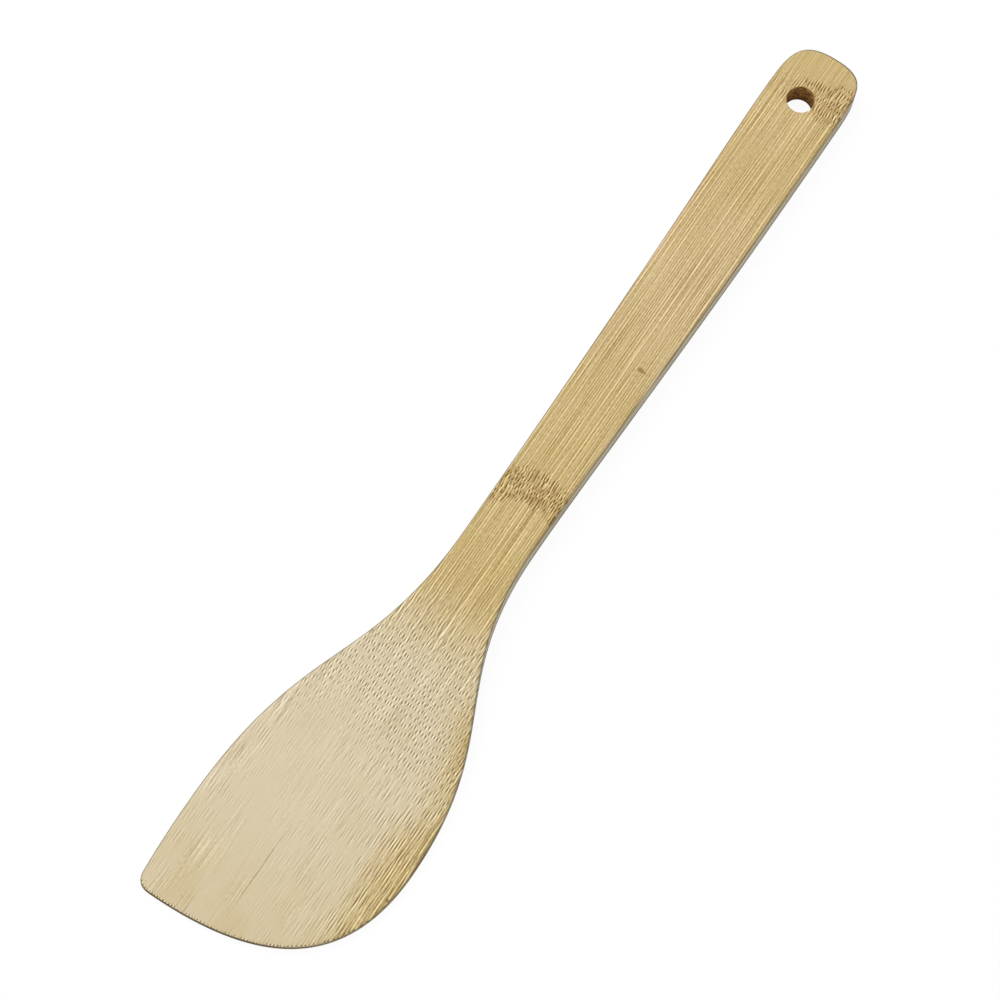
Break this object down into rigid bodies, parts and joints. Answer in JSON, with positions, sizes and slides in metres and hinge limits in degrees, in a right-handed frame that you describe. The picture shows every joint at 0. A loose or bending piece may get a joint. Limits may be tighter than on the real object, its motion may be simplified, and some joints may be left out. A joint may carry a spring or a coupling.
{
  "type": "bamboo turner",
  "caption": "Flat kitchen turner cut from a single bamboo strip, with a broad slant-tipped blade scooped thin from the front, a straight handle and a hanging hole.",
  "frame": {"origin": "middle of the footprint, on the surface that the flat back lies on", "axes": "+X across the blade towards the rounded end of its tip, +Y along the handle from the blade's tip, +Z out of the front face"},
  "size_m": [0.06, 0.3, 0.0085],
  "materials": {
    "bamboo": "sanded bare bamboo, matt, with fine lengthwise fibres and two growth rings"
  },
  "bodies": {
    "root": {"turner": "bamboo"}
  },
  "joints": []
}
